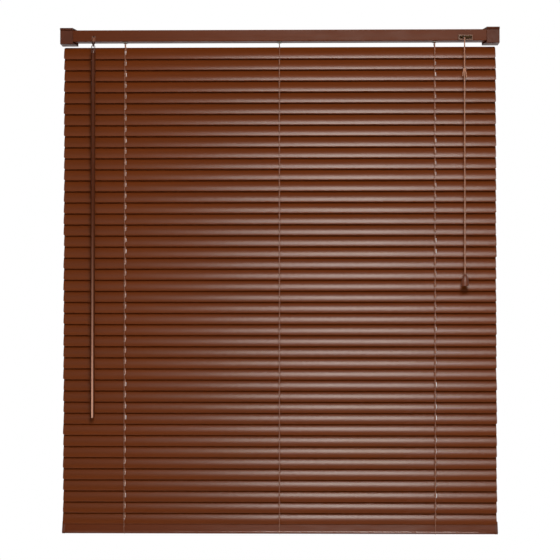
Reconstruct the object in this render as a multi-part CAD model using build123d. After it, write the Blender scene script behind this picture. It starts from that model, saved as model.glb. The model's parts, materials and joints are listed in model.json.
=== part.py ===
"""Venetian blind with narrow crowned slats, shown closed.

Millimetres. +X runs to the right along the slats, +Y goes away from the room towards the window and
+Z is up. The origin is on the top fixing face of the two end brackets, midway between them and above
the tilt rod. Every slat is stored at its closed tilt, with its crown to the room and its front edge
down, as the blind hangs in a window.
"""

from build123d import *
from math import asin, cos, pi, radians, sin, sqrt, tan
import os

# Slats
SLAT_COUNT = 43
SLAT_END_INSET = 3.5
SLAT_WIDTH = 25.0
SLAT_THICKNESS = 0.5
SLAT_CROWN = 1.9
SLAT_CORNER = 3.0
SLAT_PITCH = 21.5
CLOSED_TILT = 70.0
ROUTE_SLOT_LENGTH = 9.0
ROUTE_SLOT_WIDTH = 2.6

# Bottom rail
BOTTOM_RAIL_WIDTH = 24.0
BOTTOM_RAIL_THICKNESS = 7.0
BOTTOM_RAIL_EDGE = 2.4
BOTTOM_RAIL_DROP = 19.0

# Headrail, an open-topped channel with lips turned in
HEADRAIL_LENGTH = 847.0
HEADRAIL_DEPTH = 25.0
HEADRAIL_HEIGHT = 22.0
HEADRAIL_WALL = 0.7
HEADRAIL_LIP = 3.0
HEADRAIL_BEND = 1.5
HEADRAIL_TO_FIRST_SLAT = 20.5

# End brackets with hinged doors
BRACKET_LENGTH = 31.0
BRACKET_WALL = 2.0
BRACKET_TOP_ROOM = 2.3
BRACKET_SADDLE = 2.7
BRACKET_END_GAP = 0.5
SCREW_HEAD_ROOM = 2.5
SCREW_HOLE_RADIUS = 2.25
SCREW_SPACING = 12.0
DOOR_LENGTH = 25.0
DOOR_THICKNESS = 2.0
DOOR_GAP = 0.5
DOOR_EDGE = 0.8
HINGE_PIN_RADIUS = 1.2
HINGE_CLEARANCE = 0.1
HINGE_KNUCKLE_WALL = 1.0
HINGE_LUG = 3.0

# Tilt rod, with a drum over each ladder
ROD_SIDE = 4.0
ROD_RISE = 11.3
ROD_OVERHANG = 4.0
ROD_CLEARANCE = 0.05
LADDER_INSET = 122.5
DRUM_RADIUS = 6.5
DRUM_LENGTH = 14.0
DRUM_FLANGE = 1.5
DRUM_FLANGE_WIDTH = 1.2
JOURNAL_RADIUS = 3.6
BEARING_CLEARANCE = 0.1

# Cradles that carry the drums on the headrail's floor
CRADLE_BASE = 1.5
CRADLE_PLATE = 1.6
CRADLE_PLATE_WIDTH = 15.0
CRADLE_SIDE_GAP = 0.4
CRADLE_BASE_MARGIN = 4.0
CRADLE_BASE_WIDTH = 22.0
LADDER_SLOT_LENGTH = 4.6
LADDER_SLOT_WIDTH = 18.0
SNOUT_WALL = 1.6
SNOUT_PROUD = 1.2
SNOUT_CLEARANCE = 0.2

# Ladders and lift cords
LADDER_CORD = 0.9
RUNG_CORD = 0.6
CORD_GAP = 0.3
LIFT_CORD_RADIUS = 0.6
LIFT_OFFSET = 1.3
LIFT_BEND = 3.0
LANE_GAP = 0.8
LANE_RISE = 2.8
LANE_STEP = 2.0

# Tilter, a worm and a gear in a housing, turned by a wand
TILTER_INSET = 62.5
TILTER_LENGTH = 18.0
TILTER_REAR = 7.5
TILTER_TOP_GAP = 1.0
TILTER_FRONT_GAP = 0.2
GEAR_TEETH = 16
GEAR_MODULE = 0.6
GEAR_WIDTH = 5.0
GEAR_ROOM = 0.6
TOOTH_ROOT_SHARE = 0.36
TOOTH_TIP_SHARE = 0.14
MESH_GAP = 0.2
WORM_RADIUS = 2.6
WORM_CORE_RADIUS = 1.85
WORM_ABOVE = 4.0
WORM_BELOW = 5.5
WORM_SLANT = 25.0
WORM_ROOM = 0.4
STEM_RADIUS = 1.7
STEM_CLEARANCE = 0.3
STEM_LENGTH = 20.5
SLEEVE_WALL = 1.4
SLEEVE_START = 9.0
SLEEVE_END = 18.0
EYE_RADIUS = 3.0
EYE_HOLE_RADIUS = 1.5
EYE_THICKNESS = 1.4

# Tilt wand
WAND_LENGTH = 706.0
WAND_FLATS = 7.4
WAND_CAP_RADIUS = 4.6
WAND_CAP_LENGTH = 5.5
WAND_HOOK_DROP = 9.4
WAND_HOOK_RADIUS = 0.7
WAND_HOOK_HALF_SPAN = 3.1
WAND_HOOK_BEND = 1.6
WAND_EDGE = 0.8

# Cord lock, with a roller that pinches the cord
LOCK_INSET = 63.5
LOCK_LENGTH = 30.0
LOCK_CHEEK = 2.5
LOCK_REAR = 6.0
LOCK_HEIGHT = 16.6
LOCK_FLOOR = 1.5
LOCK_ANVIL_WIDTH = 4.0
LOCK_NOSE_REACH = 6.0
LOCK_NOSE_HEIGHT = 10.0
LOCK_NOSE_WALL = 2.0
LOCK_NOSE_SIDE = 1.0
LOCK_OPENING_CLEARANCE = 0.3
LOCK_CORD_RISE = 3.5
LOCK_CORD_OFFSET = -2.4
LOCK_CORD_SPACING = 2.2
ROLLER_RADIUS = 2.6
ROLLER_PIN_RADIUS = 1.0
ROLLER_PIN_CLEARANCE = 0.1
ROLLER_SIDE_GAP = 0.5
ROLLER_TRAVEL = 4.0
ROLLER_REAR = 3.0
ROLLER_SLOPE = 53.0

# Pull cord and tassel
PULL_CORD_RADIUS = 1.2
PULL_CORD_STANDOFF = 2.6
PULL_CORD_BEND = 2.4
PULL_CORD_DROP = 464.0
TASSEL_HEIGHT = 22.0
TASSEL_RADIUS = 7.5
TASSEL_NECK_RADIUS = 2.6
TASSEL_SHOULDER_RADIUS = 5.6
TASSEL_SHOULDER_DROP = 6.6
TASSEL_WAIST_RADIUS = 7.0
TASSEL_WAIST_DROP = 15.0
TASSEL_WALL = 1.3
TASSEL_CLEARANCE = 0.15
TASSEL_CORD_DEPTH = 5.0

# Places along the headrail, heights and depths that follow from the sizes above
SLAT_LENGTH = HEADRAIL_LENGTH - 2 * SLAT_END_INSET
TILTER_X = TILTER_INSET - HEADRAIL_LENGTH / 2
LOCK_X = HEADRAIL_LENGTH / 2 - LOCK_INSET
LADDER_X = HEADRAIL_LENGTH / 2 - LADDER_INSET
RAIL_TOP = -(BRACKET_WALL + BRACKET_TOP_ROOM)
RAIL_BOTTOM = RAIL_TOP - HEADRAIL_HEIGHT
RAIL_FLOOR = RAIL_BOTTOM + HEADRAIL_WALL
RAIL_HALF_DEPTH = HEADRAIL_DEPTH / 2
RAIL_INNER_HALF = RAIL_HALF_DEPTH - HEADRAIL_WALL
ROD_Z = RAIL_BOTTOM + ROD_RISE
FIRST_SLAT_Z = RAIL_BOTTOM - HEADRAIL_TO_FIRST_SLAT
LAST_SLAT_Z = FIRST_SLAT_Z - SLAT_PITCH * (SLAT_COUNT - 1)
BOTTOM_RAIL_Z = LAST_SLAT_Z - BOTTOM_RAIL_DROP
BRACKET_BOTTOM = RAIL_BOTTOM - BRACKET_SADDLE - BRACKET_WALL
BRACKET_REAR = RAIL_HALF_DEPTH + SCREW_HEAD_ROOM + BRACKET_WALL
BRACKET_END = HEADRAIL_LENGTH / 2 + BRACKET_END_GAP + BRACKET_WALL
DOOR_BACK = -(RAIL_HALF_DEPTH + DOOR_GAP)
DOOR_FRONT = DOOR_BACK - DOOR_THICKNESS
STATIONS = (-LADDER_X, 0.0, LADDER_X)
LIFT_STATIONS = (-LADDER_X, LADDER_X)

# Slat section: the mean arc, and its centre of area, about which the slat tilts
ARC_RADIUS = (SLAT_WIDTH ** 2 / 4 + SLAT_CROWN ** 2) / (2 * SLAT_CROWN)
ARC_HALF_ANGLE = asin(SLAT_WIDTH / 2 / ARC_RADIUS)
PIVOT_TO_ARC_CENTRE = ARC_RADIUS * sin(ARC_HALF_ANGLE) / ARC_HALF_ANGLE
EDGE_BELOW_PIVOT = PIVOT_TO_ARC_CENTRE - ARC_RADIUS * cos(ARC_HALF_ANGLE)


def box(x0, x1, y0, y1, z0, z1):
    """A block between two corners."""
    return Pos((x0 + x1) / 2, (y0 + y1) / 2, (z0 + z1) / 2) * Box(abs(x1 - x0), abs(y1 - y0), abs(z1 - z0))


def bar_x(x0, x1, y, z, radius):
    """A round bar along X."""
    return Pos((x0 + x1) / 2, y, z) * Rot(0, 90, 0) * Cylinder(radius, abs(x1 - x0))


def square_bar_x(x0, x1, y, z, side):
    """A square bar along X."""
    return box(x0, x1, y - side / 2, y + side / 2, z - side / 2, z + side / 2)


def prism_x(points, x0, x1):
    """A prism along X over an outline of (y, z) points."""
    outline = Polyline(*[(x0, y, z) for y, z in points], close=True)
    return extrude(make_face(outline), amount=x1 - x0, dir=(1, 0, 0))


def tube(points, bends, radius):
    """A round cord through points, with one bend radius for each inner point."""
    path = FilletPolyline(*points, radius=bends)
    return sweep(Plane(origin=path @ 0, z_dir=path % 0) * Circle(radius), path=path)


def tilted(along, above, tilt=CLOSED_TILT):
    """(y, z) of a point on a slat from its own axes: along its width to the rear, and above its pivot."""
    angle = radians(tilt)
    return along * cos(angle) - above * sin(angle), along * sin(angle) + above * cos(angle)


# Slats and bottom rail

def make_slat():
    """One level slat about its pivot line, with its route slots and rounded corners."""
    centre_z = -PIVOT_TO_ARC_CENTRE
    half = SLAT_THICKNESS / 2

    def arc_point(radius, angle):
        return 0, radius * sin(angle), centre_z + radius * cos(angle)

    outer, inner = ARC_RADIUS + half, ARC_RADIUS - half
    ends = (-ARC_HALF_ANGLE, 0, ARC_HALF_ANGLE)
    top = ThreePointArc(*[arc_point(outer, a) for a in ends])
    under = ThreePointArc(*[arc_point(inner, a) for a in ends])
    section = make_face(Curve() + [top, Line(top @ 1, under @ 1), under, Line(under @ 0, top @ 0)])
    slat = Pos(-SLAT_LENGTH / 2, 0, 0) * extrude(section, amount=SLAT_LENGTH, dir=(1, 0, 0))
    plan_width = 2 * (ARC_RADIUS + half) * sin(ARC_HALF_ANGLE)
    depth = SLAT_CROWN + 2 * SLAT_THICKNESS
    plan = extrude(RectangleRounded(SLAT_LENGTH, plan_width, SLAT_CORNER), amount=depth, both=True)
    slat = slat & plan
    for station in LIFT_STATIONS:
        slot = SlotOverall(ROUTE_SLOT_LENGTH, ROUTE_SLOT_WIDTH, rotation=90)
        slat -= Pos(lift_x(station), 0, 0) * extrude(slot, amount=depth, both=True)
    return slat


def make_bottom_rail():
    """The weighted bar that the ladders end on, at its closed tilt."""
    section = RectangleRounded(BOTTOM_RAIL_WIDTH, BOTTOM_RAIL_THICKNESS, BOTTOM_RAIL_EDGE)
    bar = extrude(Plane.YZ * section, amount=SLAT_LENGTH / 2, both=True)
    return Pos(0, 0, BOTTOM_RAIL_Z) * Rot(CLOSED_TILT, 0, 0) * bar


# Headrail and its brackets

def lift_x(station):
    """A lift cord runs close beside its ladder's strings, on the side towards the lock."""
    return station + LIFT_OFFSET


def worm_point(along):
    """A point on the worm's axis, along it from the mesh: forwards and down."""
    slant = radians(WORM_SLANT)
    centre_distance = GEAR_MODULE * (GEAR_TEETH / 2 + 1) + WORM_RADIUS + MESH_GAP
    mesh_y = -centre_distance * cos(slant)
    mesh_z = ROD_Z + centre_distance * sin(slant)
    return TILTER_X, mesh_y - along * sin(slant), mesh_z - along * cos(slant)


def worm_cylinder(radius, start, end):
    """A round piece on the worm's axis."""
    plane = Plane(origin=worm_point(start), x_dir=(1, 0, 0), z_dir=worm_axis())
    return extrude(plane * Circle(radius), amount=end - start)


def worm_axis():
    """The direction of the worm's axis, from the mesh out to the wand."""
    slant = radians(WORM_SLANT)
    return 0, -sin(slant), -cos(slant)


def lock_nose():
    """(x0, x1, z0, z1) of the cord lock's nose, which comes out through the headrail's front."""
    inset = LOCK_NOSE_SIDE
    return (LOCK_X - LOCK_LENGTH / 2 + inset, LOCK_X + LOCK_LENGTH / 2 - inset,
            RAIL_FLOOR, RAIL_FLOOR + LOCK_NOSE_HEIGHT)


def make_headrail():
    """The channel, with openings for the ladders, the tilter and the cord lock."""
    y, wall = RAIL_HALF_DEPTH, HEADRAIL_WALL
    outer = [(-y, RAIL_TOP), (-y, RAIL_BOTTOM), (y, RAIL_BOTTOM), (y, RAIL_TOP)]
    lips = [(y - HEADRAIL_LIP, RAIL_TOP), (y - HEADRAIL_LIP, RAIL_TOP - wall), (y - wall, RAIL_TOP - wall)]
    inner = [(y - wall, RAIL_FLOOR), (wall - y, RAIL_FLOOR)]
    far_lips = [(-a, b) for a, b in reversed(lips)]
    half = HEADRAIL_LENGTH / 2
    rail = prism_x(outer + lips + inner + far_lips, -half, half)
    bends = rail.edges().filter_by(Axis.X).sort_by(Axis.Z)
    rail = fillet([e for e in bends if abs(e.center().Z - RAIL_BOTTOM) < wall / 2], HEADRAIL_BEND)
    rail = fillet([e for e in rail.edges().filter_by(Axis.X)
                   if abs(e.center().Z - RAIL_FLOOR) < wall / 2 and abs(e.center().Y) > y / 2],
                  HEADRAIL_BEND - wall)
    floor = (RAIL_BOTTOM - wall, RAIL_FLOOR + wall)
    for station in STATIONS:
        length = LADDER_SLOT_LENGTH / 2 + SNOUT_WALL + SNOUT_CLEARANCE
        width = LADDER_SLOT_WIDTH / 2 + SNOUT_CLEARANCE
        rail -= box(station - length, station + length, -width, width, *floor)
    bore = STEM_RADIUS + STEM_CLEARANCE
    reach = bore + SLEEVE_WALL + LOCK_OPENING_CLEARANCE
    wall_y, top_z = worm_line(bore + LOCK_OPENING_CLEARANCE, y=-RAIL_INNER_HALF)
    floor_y, _ = worm_line(-reach, z=RAIL_FLOOR)
    rail -= box(TILTER_X - reach, TILTER_X + reach, 2 * wall_y, floor_y, RAIL_BOTTOM - wall, top_z)
    x0, x1, z0, z1 = lock_nose()
    gap = LOCK_OPENING_CLEARANCE
    rail -= box(x0 - gap, x1 + gap, -2 * y, HEADRAIL_BEND - y, RAIL_BOTTOM - wall, z1 + gap)
    return rail


def worm_line(offset, y=None, z=None):
    """(y, z) on a line beside the worm's axis, offset to its upper front, at a given y or a given z."""
    slant = radians(WORM_SLANT)
    _, mesh_y, mesh_z = worm_point(0)
    start_y, start_z = mesh_y - offset * cos(slant), mesh_z + offset * sin(slant)
    along = (start_z - z) / cos(slant) if y is None else (start_y - y) / sin(slant)
    return start_y - along * sin(slant), start_z - along * cos(slant)


def make_bracket():
    """The right-hand box bracket: four walls, a saddle under the headrail and a hinge pin in front."""
    wall, x1 = BRACKET_WALL, BRACKET_END
    x0, door_x0 = x1 - BRACKET_LENGTH, x1 - DOOR_LENGTH
    plan = [(x0, BRACKET_REAR), (x1, BRACKET_REAR), (x1, DOOR_BACK), (door_x0, DOOR_BACK)]
    outline = make_face(Polyline(*[(x, y, 0) for x, y in plan], close=True))
    shell = extrude(outline, amount=-BRACKET_BOTTOM, dir=(0, 0, -1))
    hollow = box(x0 - wall, x1 - wall, 2 * DOOR_BACK, BRACKET_REAR - wall, -wall, BRACKET_BOTTOM + wall)
    bracket = shell - hollow
    saddle_y = RAIL_HALF_DEPTH / 2
    for y in (-saddle_y, saddle_y):
        bracket += box(door_x0, x1 - wall, y - wall / 2, y + wall / 2, BRACKET_BOTTOM + wall, RAIL_BOTTOM)
    pin_y, pin_z = hinge_pin()
    outer = knuckle_radius()
    for lug_x in (door_x0, x1 - HINGE_LUG):
        lug = bar_x(lug_x, lug_x + HINGE_LUG, pin_y, pin_z, outer)
        lug += box(lug_x, lug_x + HINGE_LUG, pin_y, DOOR_BACK + wall, pin_z, 0)
        bracket += lug & box(lug_x, lug_x + HINGE_LUG, 2 * DOOR_FRONT, BRACKET_REAR, 2 * pin_z, 0)
    bracket += bar_x(door_x0, x1, pin_y, pin_z, HINGE_PIN_RADIUS)
    screw_x = x1 - BRACKET_LENGTH / 2
    for offset in (-SCREW_SPACING / 2, SCREW_SPACING / 2):
        bracket -= Pos(screw_x, offset, -wall / 2) * Cylinder(SCREW_HOLE_RADIUS, 2 * wall)
        wall_hole = Rot(90, 0, 0) * Cylinder(SCREW_HOLE_RADIUS, 2 * wall)
        bracket -= Pos(screw_x, BRACKET_REAR - wall / 2, BRACKET_BOTTOM / 2 + offset) * wall_hole
    return bracket


def knuckle_radius():
    """Outside radius of the door's hinge knuckle and of the lugs beside it."""
    return HINGE_PIN_RADIUS + HINGE_CLEARANCE + HINGE_KNUCKLE_WALL


def hinge_pin():
    """(y, z) of the door hinge, in front of the bracket's top wall."""
    return DOOR_BACK - knuckle_radius(), -knuckle_radius()


def make_door():
    """The right-hand bracket's door, hung by a knuckle at its top edge."""
    pin_y, pin_z = hinge_pin()
    x1 = BRACKET_END
    x0 = x1 - DOOR_LENGTH
    knuckle_x = (x0 + HINGE_LUG + HINGE_CLEARANCE, x1 - HINGE_LUG - HINGE_CLEARANCE)
    plate_top = pin_z - knuckle_radius() - HINGE_CLEARANCE
    plate = box(x0, x1, DOOR_FRONT - DOOR_GAP, DOOR_BACK - DOOR_GAP, BRACKET_BOTTOM, plate_top)
    plate = chamfer(plate.faces().sort_by(Axis.Y)[0].edges(), DOOR_EDGE)
    neck = box(*knuckle_x, DOOR_FRONT - DOOR_GAP + DOOR_EDGE, DOOR_BACK - DOOR_GAP, plate_top, pin_z)
    knuckle = bar_x(*knuckle_x, pin_y, pin_z, knuckle_radius())
    return plate + neck + knuckle - bar_x(*knuckle_x, pin_y, pin_z, HINGE_PIN_RADIUS + HINGE_CLEARANCE)


def mirror_pair(right):
    """The right-hand piece and its mirror image, left first."""
    return mirror(right, about=Plane.YZ), right


# Tilt rod, drums and cradles

def make_tilt_rod():
    """The square rod from the tilter to the last drum."""
    start = TILTER_X - TILTER_LENGTH / 2 - ROD_OVERHANG
    end = STATIONS[-1] + cradle_half_length() + ROD_OVERHANG
    return square_bar_x(start, end, 0, ROD_Z, ROD_SIDE)


def rod_bore(x0, x1):
    """The square hole that a piece on the rod has."""
    return square_bar_x(x0, x1, 0, ROD_Z, ROD_SIDE + 2 * ROD_CLEARANCE)


def cradle_half_length():
    """Half the distance over a cradle's two plates."""
    return DRUM_LENGTH / 2 + CRADLE_SIDE_GAP + CRADLE_PLATE


def make_drum(station):
    """A flanged drum with a journal at each end."""
    half, journal = DRUM_LENGTH / 2, cradle_half_length() + CRADLE_SIDE_GAP
    drum = bar_x(station - half, station + half, 0, ROD_Z, DRUM_RADIUS)
    for end in (station - half, station + half - DRUM_FLANGE_WIDTH):
        drum += bar_x(end, end + DRUM_FLANGE_WIDTH, 0, ROD_Z, DRUM_RADIUS + DRUM_FLANGE)
    drum += bar_x(station - journal, station + journal, 0, ROD_Z, JOURNAL_RADIUS)
    return drum - rod_bore(station - journal, station + journal)


def make_cradle(station):
    """A cradle: two bearing plates on a base, with a snout for the ladder down through the floor."""
    plate_x1 = cradle_half_length()
    plate_x0 = plate_x1 - CRADLE_PLATE
    base_top = RAIL_FLOOR + CRADLE_BASE
    reach = plate_x1 + CRADLE_BASE_MARGIN
    half_width = CRADLE_BASE_WIDTH / 2
    cradle = box(station - reach, station + reach, -half_width, half_width, RAIL_FLOOR, base_top)
    bearing = JOURNAL_RADIUS + BEARING_CLEARANCE
    half_plate = CRADLE_PLATE_WIDTH / 2
    for x0, x1 in ((-plate_x1, -plate_x0), (plate_x0, plate_x1)):
        plate = box(station + x0, station + x1, -half_plate, half_plate, base_top, ROD_Z + bearing)
        plate -= bar_x(station + x0, station + x1, 0, ROD_Z, bearing)
        cradle += plate - box(station + x0, station + x1, -bearing, bearing, ROD_Z, ROD_Z + 2 * bearing)
    slot = LADDER_SLOT_LENGTH / 2
    snout = slot + SNOUT_WALL
    slot_half_width = LADDER_SLOT_WIDTH / 2
    cradle += box(station - snout, station + snout, -slot_half_width, slot_half_width,
                  RAIL_BOTTOM - SNOUT_PROUD, RAIL_FLOOR)
    inner_half_width = slot_half_width - SNOUT_WALL
    cradle -= box(station - slot, station + slot, -inner_half_width, inner_half_width,
                  RAIL_BOTTOM - 2 * SNOUT_PROUD, base_top)
    return cradle


# Tilter

def make_tilter_housing():
    """The housing round worm and gear, with a sleeve for the stem out of the headrail's front."""
    half = TILTER_LENGTH / 2
    front = TILTER_FRONT_GAP - RAIL_INNER_HALF
    housing = box(TILTER_X - half, TILTER_X + half, front, TILTER_REAR,
                  RAIL_FLOOR + HEADRAIL_BEND, RAIL_TOP - HEADRAIL_WALL - TILTER_TOP_GAP)
    foot = half - SLEEVE_WALL
    housing += box(TILTER_X - foot, TILTER_X + foot, front + HEADRAIL_BEND, TILTER_REAR,
                   RAIL_FLOOR, RAIL_FLOOR + HEADRAIL_BEND)
    bore = STEM_RADIUS + STEM_CLEARANCE
    housing += worm_cylinder(bore + SLEEVE_WALL, SLEEVE_START, SLEEVE_END)
    gear_space = GEAR_MODULE * (GEAR_TEETH / 2 + 1) + GEAR_ROOM
    gear_half = GEAR_WIDTH / 2 + GEAR_ROOM
    housing -= bar_x(TILTER_X - gear_half, TILTER_X + gear_half, 0, ROD_Z, gear_space)
    housing -= bar_x(TILTER_X - half, TILTER_X + half, 0, ROD_Z, ROD_SIDE / sqrt(2) + BEARING_CLEARANCE)
    top_room = WORM_ABOVE + TILTER_TOP_GAP + WORM_RADIUS
    housing -= worm_cylinder(WORM_RADIUS + WORM_ROOM, -top_room, WORM_BELOW + WORM_ROOM)
    return housing - worm_cylinder(bore, 0, 2 * SLEEVE_END)


def make_tilter_gear():
    """The gear on the tilt rod, with straight-sided teeth."""
    tip = GEAR_MODULE * (GEAR_TEETH / 2 + 1)
    root = GEAR_MODULE * (GEAR_TEETH / 2 - 1.25)
    step = 2 * pi / GEAR_TEETH
    points = []
    for tooth in range(GEAR_TEETH):
        for share, radius in ((-TOOTH_ROOT_SHARE, root), (-TOOTH_TIP_SHARE, tip),
                              (TOOTH_TIP_SHARE, tip), (TOOTH_ROOT_SHARE, root)):
            angle = (tooth + share) * step
            points.append((radius * cos(angle), ROD_Z + radius * sin(angle)))
    half = GEAR_WIDTH / 2
    gear = prism_x(points, TILTER_X - half, TILTER_X + half)
    return gear - rod_bore(TILTER_X - half, TILTER_X + half)


def make_tilter_worm():
    """The worm with its single thread, its stem and the flat eye that the wand hangs from."""
    pitch = pi * GEAR_MODULE
    length = WORM_ABOVE + WORM_BELOW
    plane = Plane(origin=worm_point(-WORM_ABOVE), x_dir=(1, 0, 0), z_dir=worm_axis())
    turns = length - pitch
    helix = Pos(0, 0, pitch / 2) * Helix(pitch=pitch, height=turns, radius=WORM_CORE_RADIUS)
    sunk, crest = pitch / 10, WORM_RADIUS - WORM_CORE_RADIUS
    root_half, crest_half = pitch / 3.2, pitch / 8
    ridge = Polyline((-sunk, -root_half), (crest, -crest_half), (crest, crest_half), (-sunk, root_half),
                     close=True)
    start = Plane(origin=helix @ 0, x_dir=(1, 0, 0), z_dir=helix % 0)
    thread = sweep(start * make_face(ridge), path=helix, is_frenet=True)
    worm = worm_cylinder(WORM_CORE_RADIUS, -WORM_ABOVE, WORM_BELOW) + plane.location * thread
    eye_at = WORM_BELOW + STEM_LENGTH
    worm += worm_cylinder(STEM_RADIUS, WORM_BELOW - sunk, eye_at - EYE_HOLE_RADIUS - STEM_CLEARANCE)
    x, y, z = worm_point(eye_at)
    half = EYE_THICKNESS / 2
    worm += bar_x(x - half, x + half, y, z, EYE_RADIUS)
    return worm - bar_x(x - 2 * STEM_RADIUS, x + 2 * STEM_RADIUS, y, z, EYE_HOLE_RADIUS)


def make_wand():
    """The six-sided wand, with a cap and a hook through the worm's eye."""
    x, y, z = worm_point(WORM_BELOW + STEM_LENGTH)
    cap_top = z - WAND_HOOK_DROP
    hex_top = cap_top - WAND_CAP_LENGTH
    corner_radius = WAND_FLATS / 2 / cos(pi / 6)
    shaft = extrude(Pos(x, y, hex_top) * RegularPolygon(corner_radius, 6), amount=-WAND_LENGTH)
    shaft = chamfer(shaft.faces().sort_by(Axis.Z)[0].edges(), WAND_EDGE)
    cap = Pos(x, y, hex_top + WAND_CAP_LENGTH / 2) * Cylinder(WAND_CAP_RADIUS, WAND_CAP_LENGTH)
    cap = chamfer(cap.faces().sort_by(Axis.Z)[-1].edges(), WAND_EDGE / 2)
    span, root = WAND_HOOK_HALF_SPAN, cap_top - WAND_CAP_LENGTH / 2
    hook = tube([(x - span, y, root), (x - span, y, z), (x + span, y, z), (x + span, y, root)],
                [WAND_HOOK_BEND, WAND_HOOK_BEND], WAND_HOOK_RADIUS)
    return shaft + cap + hook


# Cord lock

def roller_axis():
    """(y, z) of the roller where it pinches the cords."""
    return -ROLLER_REAR, lock_cord_z() + LIFT_CORD_RADIUS + CORD_GAP + ROLLER_RADIUS


def lock_cord_z():
    """Height at which the lift cords pass through the lock."""
    return RAIL_FLOOR + LOCK_FLOOR + LOCK_CORD_RISE


def make_cord_lock_case():
    """The lock's case: a floor with an anvil, two slotted cheeks and a nose through the front."""
    x0, x1 = LOCK_X - LOCK_LENGTH / 2, LOCK_X + LOCK_LENGTH / 2
    front = HEADRAIL_BEND - RAIL_INNER_HALF
    floor_top, top = RAIL_FLOOR + LOCK_FLOOR, RAIL_FLOOR + LOCK_HEIGHT
    case = box(x0, x1, front, LOCK_REAR, RAIL_FLOOR, floor_top)
    pin_y, pin_z = roller_axis()
    slope = radians(ROLLER_SLOPE)
    pin_hole = ROLLER_PIN_RADIUS + ROLLER_PIN_CLEARANCE
    middle = (pin_y + ROLLER_TRAVEL / 2 * cos(slope), pin_z + ROLLER_TRAVEL / 2 * sin(slope))
    slot = SlotCenterToCenter(ROLLER_TRAVEL, 2 * pin_hole, rotation=ROLLER_SLOPE)
    slot_cut = extrude(Plane.YZ * Pos(*middle) * slot, amount=x1)
    for cheek in (x0, x1 - LOCK_CHEEK):
        case += box(cheek, cheek + LOCK_CHEEK, front, LOCK_REAR, floor_top, top)
    case -= slot_cut
    anvil_top = lock_cord_z() - LIFT_CORD_RADIUS - CORD_GAP
    case += box(x0 + LOCK_CHEEK, x1 - LOCK_CHEEK, pin_y - LOCK_ANVIL_WIDTH / 2, pin_y + LOCK_ANVIL_WIDTH / 2,
                floor_top, anvil_top)
    nx0, nx1, nz0, nz1 = lock_nose()
    nose_front = -RAIL_HALF_DEPTH - LOCK_NOSE_REACH
    wall = LOCK_NOSE_WALL
    nose = box(nx0, nx1, nose_front, front, nz0, nz1)
    nose = chamfer(nose.faces().sort_by(Axis.Y)[0].edges(), wall / 2)
    nose -= box(nx0 + wall, nx1 - wall, 2 * nose_front, front, floor_top, nz1 - wall)
    return case + nose


def make_roller():
    """The grooved roller on its pins, which slide in the cheeks' slots."""
    pin_y, pin_z = roller_axis()
    x0, x1 = LOCK_X - LOCK_LENGTH / 2, LOCK_X + LOCK_LENGTH / 2
    inset = LOCK_CHEEK + ROLLER_SIDE_GAP
    roller = bar_x(x0 + inset, x1 - inset, pin_y, pin_z, ROLLER_RADIUS)
    return roller + bar_x(x0 + ROLLER_SIDE_GAP, x1 - ROLLER_SIDE_GAP, pin_y, pin_z, ROLLER_PIN_RADIUS)


# Cords

def front_string_y():
    """The front string hangs as far forwards as the rear one hangs back, clear of slats closed either way."""
    return -rear_string_y()


def rear_string_y():
    """The rear string hangs just clear of the closed slats' upper edges."""
    edge_y, _ = tilted(SLAT_WIDTH / 2, -EDGE_BELOW_PIVOT)
    return edge_y + SLAT_THICKNESS / 2 + CORD_GAP + LADDER_CORD / 2


def rung_point(y):
    """Height, from the slat's pivot, of the rung that runs under the slat's edges, at a given y."""
    above = -(EDGE_BELOW_PIVOT + SLAT_THICKNESS / 2 + CORD_GAP + RUNG_CORD / 2)
    start_y, start_z = tilted(0, above)
    return start_z + (y - start_y) * tan(radians(CLOSED_TILT))


def band(points, width):
    """A flat strip of string in the YZ plane along straight runs, as one outline of (y, z) points."""
    half = width / 2
    return [(y - half, z) for y, z in points] + [(y + half, z) for y, z in reversed(points)]


def make_ladder(station):
    """Two strings from the drum to the bottom rail, with a rung under each slat."""
    drum_y = DRUM_RADIUS + LADDER_CORD / 2 + ROD_CLEARANCE
    first = FIRST_SLAT_Z + SLAT_PITCH / 2
    front, rear = front_string_y(), rear_string_y()
    face_above = BOTTOM_RAIL_THICKNESS / 2 + CORD_GAP
    face_y, face_z = tilted(0, face_above)
    front_end = BOTTOM_RAIL_Z + face_z + (front + LADDER_CORD / 2 - face_y) * tan(radians(CLOSED_TILT))
    _, rear_end = tilted(BOTTOM_RAIL_WIDTH / 2, -BOTTOM_RAIL_THICKNESS / 2 + BOTTOM_RAIL_EDGE)
    outlines = [band([(-drum_y, ROD_Z), (front, first), (front, front_end)], LADDER_CORD),
                band([(drum_y, ROD_Z), (rear, first), (rear, BOTTOM_RAIL_Z + rear_end + CORD_GAP)], LADDER_CORD)]
    rung_width = RUNG_CORD / sin(radians(CLOSED_TILT))
    for slat in range(SLAT_COUNT):
        z = slat_z(slat)
        outlines.append(band([(front, z + rung_point(front)), (rear, z + rung_point(rear))], rung_width))
    strings = [prism_x(outline, -LADDER_CORD / 2, LADDER_CORD / 2) for outline in outlines]
    return Pos(station, 0, 0) * (strings[0] + strings[1:])


def slat_z(index):
    """Height of a slat's pivot line, counted from the top."""
    return FIRST_SLAT_Z - index * SLAT_PITCH


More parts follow.
